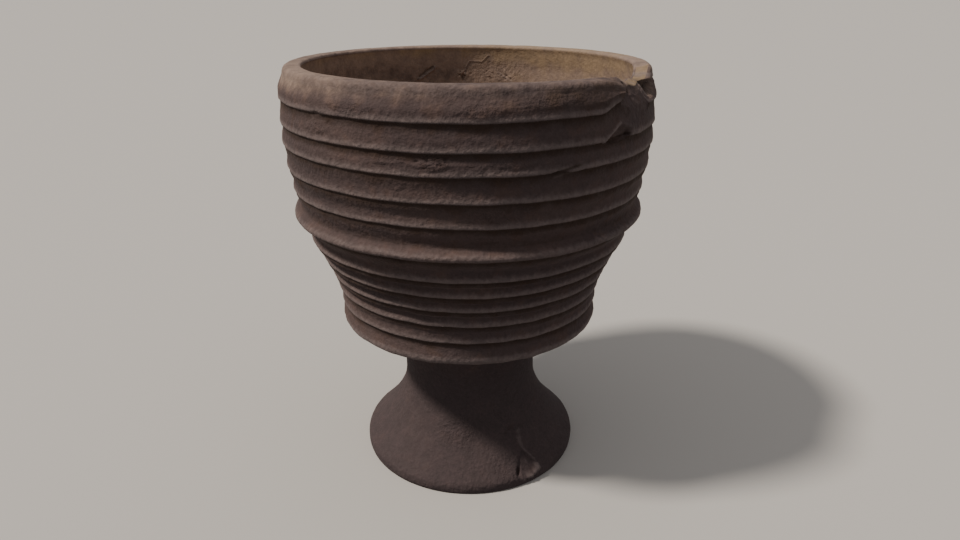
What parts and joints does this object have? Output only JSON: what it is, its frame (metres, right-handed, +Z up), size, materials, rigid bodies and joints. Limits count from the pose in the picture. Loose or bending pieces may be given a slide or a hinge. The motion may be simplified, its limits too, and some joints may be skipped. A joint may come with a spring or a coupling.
{
  "type": "clay chalice",
  "caption": "Round goblet of fired clay with a ridged bowl, a short neck and a flared hollow foot; the rim is chipped and broken in one place.",
  "frame": {"origin": "centre of the foot's standing ring, on the surface that the chalice stands on", "axes": "+Z up along the axis that the bowl was turned on, -Y the front that the picture shows"},
  "size_m": [0.1278, 0.1278, 0.15],
  "materials": {
    "fired_clay": "matt, unglazed, worn and stained"
  },
  "bodies": {
    "root": {"chalice": "fired_clay"}
  },
  "joints": []
}
